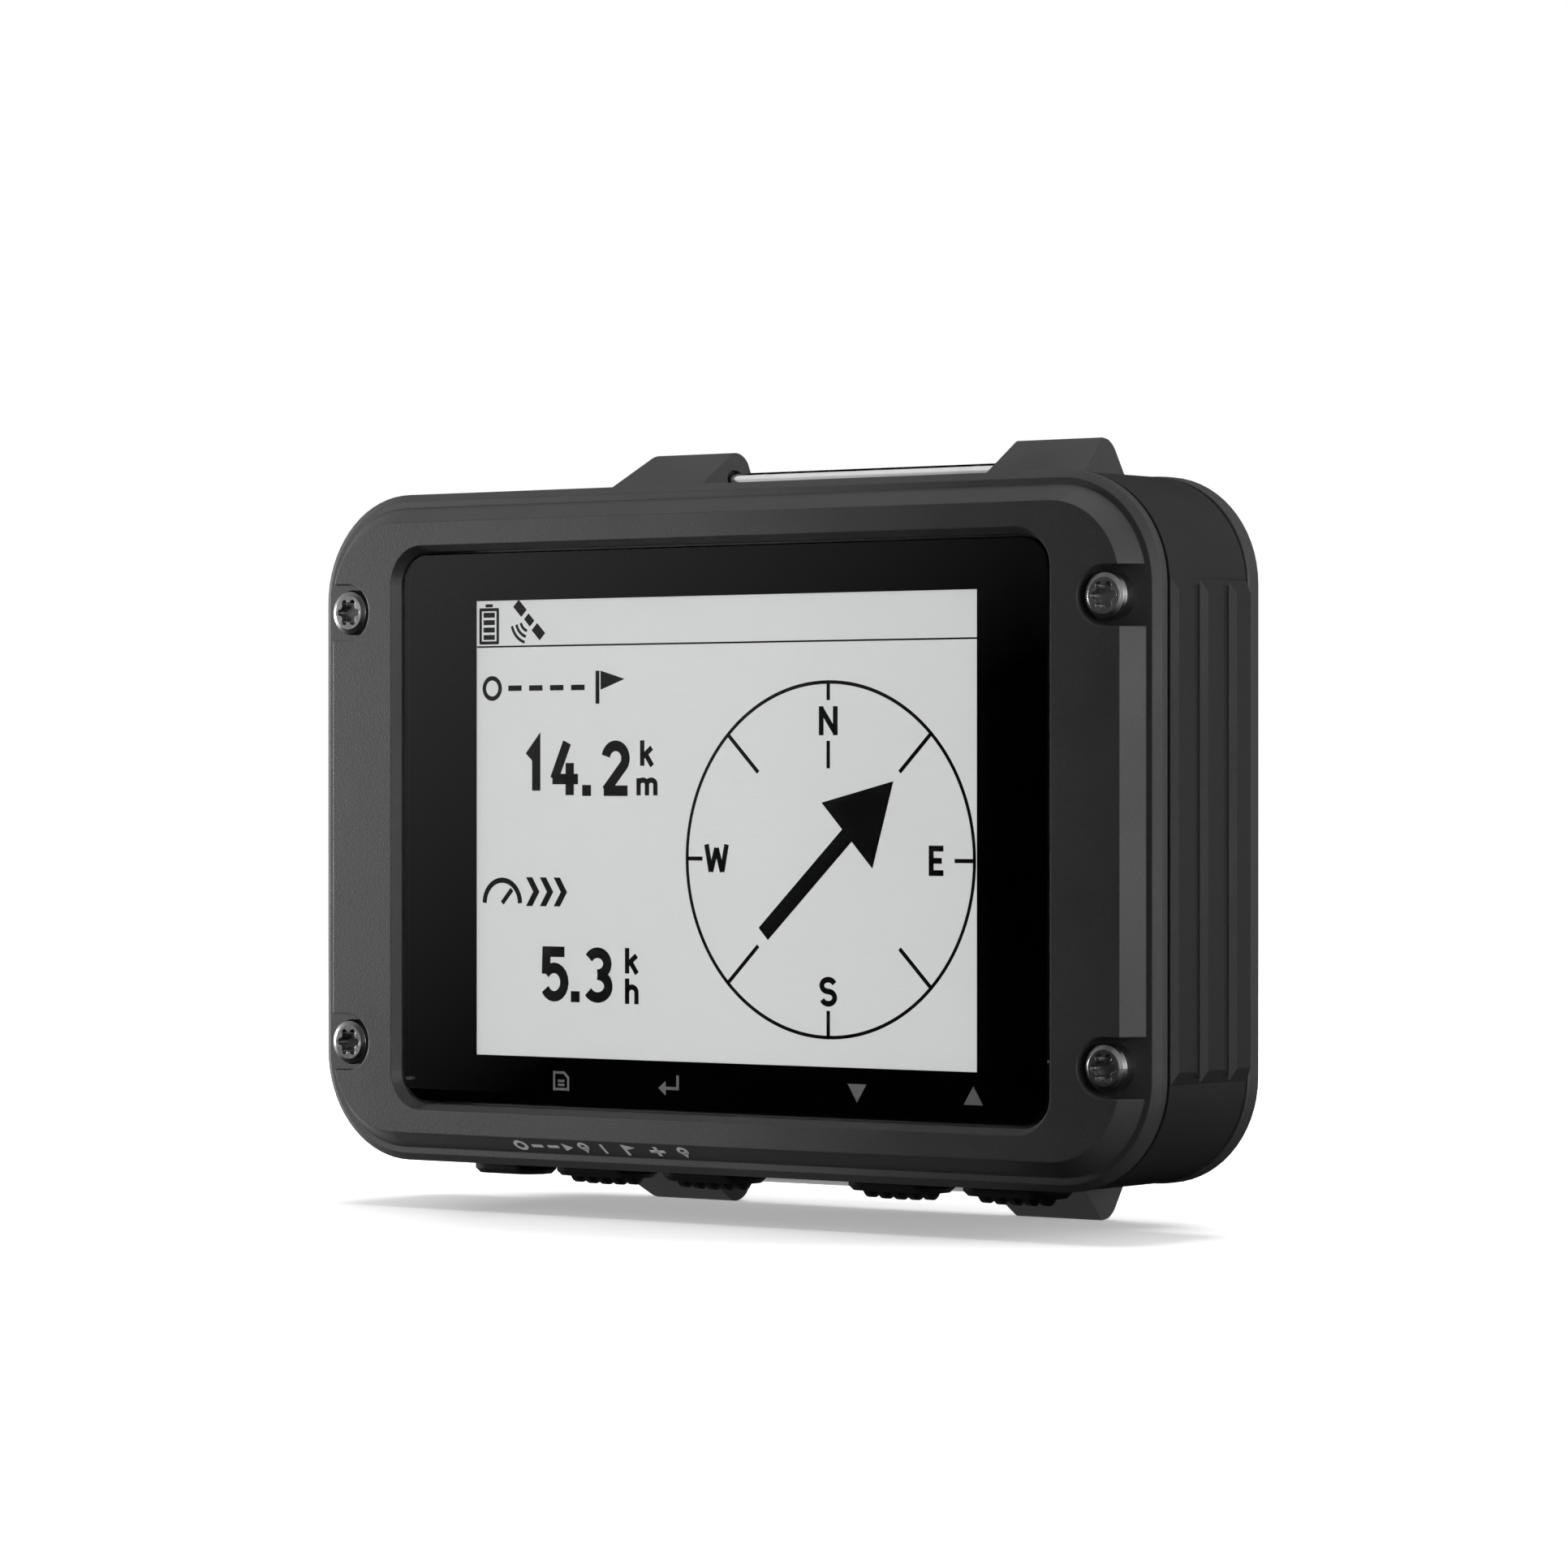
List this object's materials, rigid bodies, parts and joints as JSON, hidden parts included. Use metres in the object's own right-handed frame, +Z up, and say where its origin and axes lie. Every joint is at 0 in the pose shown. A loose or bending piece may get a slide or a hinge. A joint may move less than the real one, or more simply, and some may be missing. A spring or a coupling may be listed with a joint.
{
  "type": "wrist-worn aviation gps navigator",
  "caption": "Rugged wrist gps navigator: wide light-grey screen in a bevelled dark bezel, ribbed case, edge keys, strap lugs with steel bars and a rear battery cover.",
  "frame": {"origin": "bottom centre of the bounding box, on the level of the lower lug tips", "axes": "+Z up the screen, -Y out of the screen towards the viewer, +X to the viewer's right"},
  "size_m": [0.0784, 0.0236, 0.0588],
  "materials": {
    "shell": "fine moulded texture, dark grey",
    "case": "fine moulded texture, charcoal",
    "lens": "clear, polished, hard coated",
    "mask": "black ink behind the lens",
    "display": "reflective light grey liquid crystal panel",
    "inner_plastic": "black moulding",
    "key_rubber": "black silicone rubber",
    "seal_rubber": "soft sealing cord",
    "screw_steel": "passivated stainless steel",
    "bar_steel": "polished stainless steel",
    "board": "green solder mask",
    "flex": "amber film",
    "tin": "tinned sheet steel and wire",
    "ceramic": "fired ceramic block",
    "contact": "plated spring brass",
    "insert_brass": "knurled brass",
    "cell": "plain sleeved dry cell",
    "vent": "porous membrane"
  },
  "bodies": {
    "case": {"front_bezel": "shell", "rear_housing": "shell", "mid_case": "case", "display_lens": "lens", "lens_mask": "mask", "display_panel": "display", "backlight": "display", "display_carrier": "inner_plastic", "board_chips": "inner_plastic", "beeper": "inner_plastic", "usb_cap_strap": "key_rubber", "front_seal": "seal_rubber", "rear_seal": "seal_rubber", "key_seal": "seal_rubber", "cover_seal": "seal_rubber", "bezel_screws": "screw_steel", "rear_screws": "screw_steel", "board_screws": "screw_steel", "strap_bar_top": "bar_steel", "strap_bar_bottom": "bar_steel", "main_board": "board", "key_board": "board", "display_flex": "flex", "shield_can": "tin", "usb_socket": "tin", "key_switches": "tin", "battery_springs": "tin", "gps_antenna": "ceramic", "battery_contacts": "contact", "cover_inserts": "insert_brass", "battery_upper": "cell", "battery_lower": "cell", "pressure_vent": "vent"},
    "power_key": {"power_key": "key_rubber"},
    "page_key": {"page_key": "key_rubber"},
    "enter_key": {"enter_key": "key_rubber"},
    "down_key": {"down_key": "key_rubber"},
    "up_key": {"up_key": "key_rubber"},
    "battery_cover": {"battery_cover": "shell"},
    "cover_screw_top": {"cover_screw_top": "screw_steel"},
    "cover_screw_bottom": {"cover_screw_bottom": "screw_steel"},
    "usb_cap": {"usb_cap": "key_rubber"}
  },
  "joints": [
    {"name": "power_key_press", "type": "slide", "parent": "case", "child": "power_key", "axis": [0, 0, 1], "range_m": [0, 0.0006], "stiffness_N_per_m": 2500},
    {"name": "page_key_press", "type": "slide", "parent": "case", "child": "page_key", "axis": [0, 0, 1], "range_m": [0, 0.0006], "stiffness_N_per_m": 2500},
    {"name": "enter_key_press", "type": "slide", "parent": "case", "child": "enter_key", "axis": [0, 0, 1], "range_m": [0, 0.0006], "stiffness_N_per_m": 2500},
    {"name": "down_key_press", "type": "slide", "parent": "case", "child": "down_key", "axis": [0, 0, 1], "range_m": [0, 0.0006], "stiffness_N_per_m": 2500},
    {"name": "up_key_press", "type": "slide", "parent": "case", "child": "up_key", "axis": [0, 0, 1], "range_m": [0, 0.0006], "stiffness_N_per_m": 2500},
    {"name": "battery_cover_lift", "type": "slide", "parent": "case", "child": "battery_cover", "axis": [0, 1, 0], "range_m": [0, 0.015]},
    {"name": "cover_screw_top_turn", "type": "hinge", "parent": "battery_cover", "child": "cover_screw_top", "pos_m": [0, 0.0102, 0.043], "axis": [0, 1, 0], "continuous": true},
    {"name": "cover_screw_bottom_turn", "type": "hinge", "parent": "battery_cover", "child": "cover_screw_bottom", "pos_m": [0, 0.0102, 0.0158], "axis": [0, 1, 0], "continuous": true},
    {"name": "usb_cap_hinge", "type": "hinge", "parent": "case", "child": "usb_cap", "pos_m": [-0.0382, -0.0043, 0.02305], "axis": [0, -1, 0], "range_deg": [0, 100]}
  ]
}
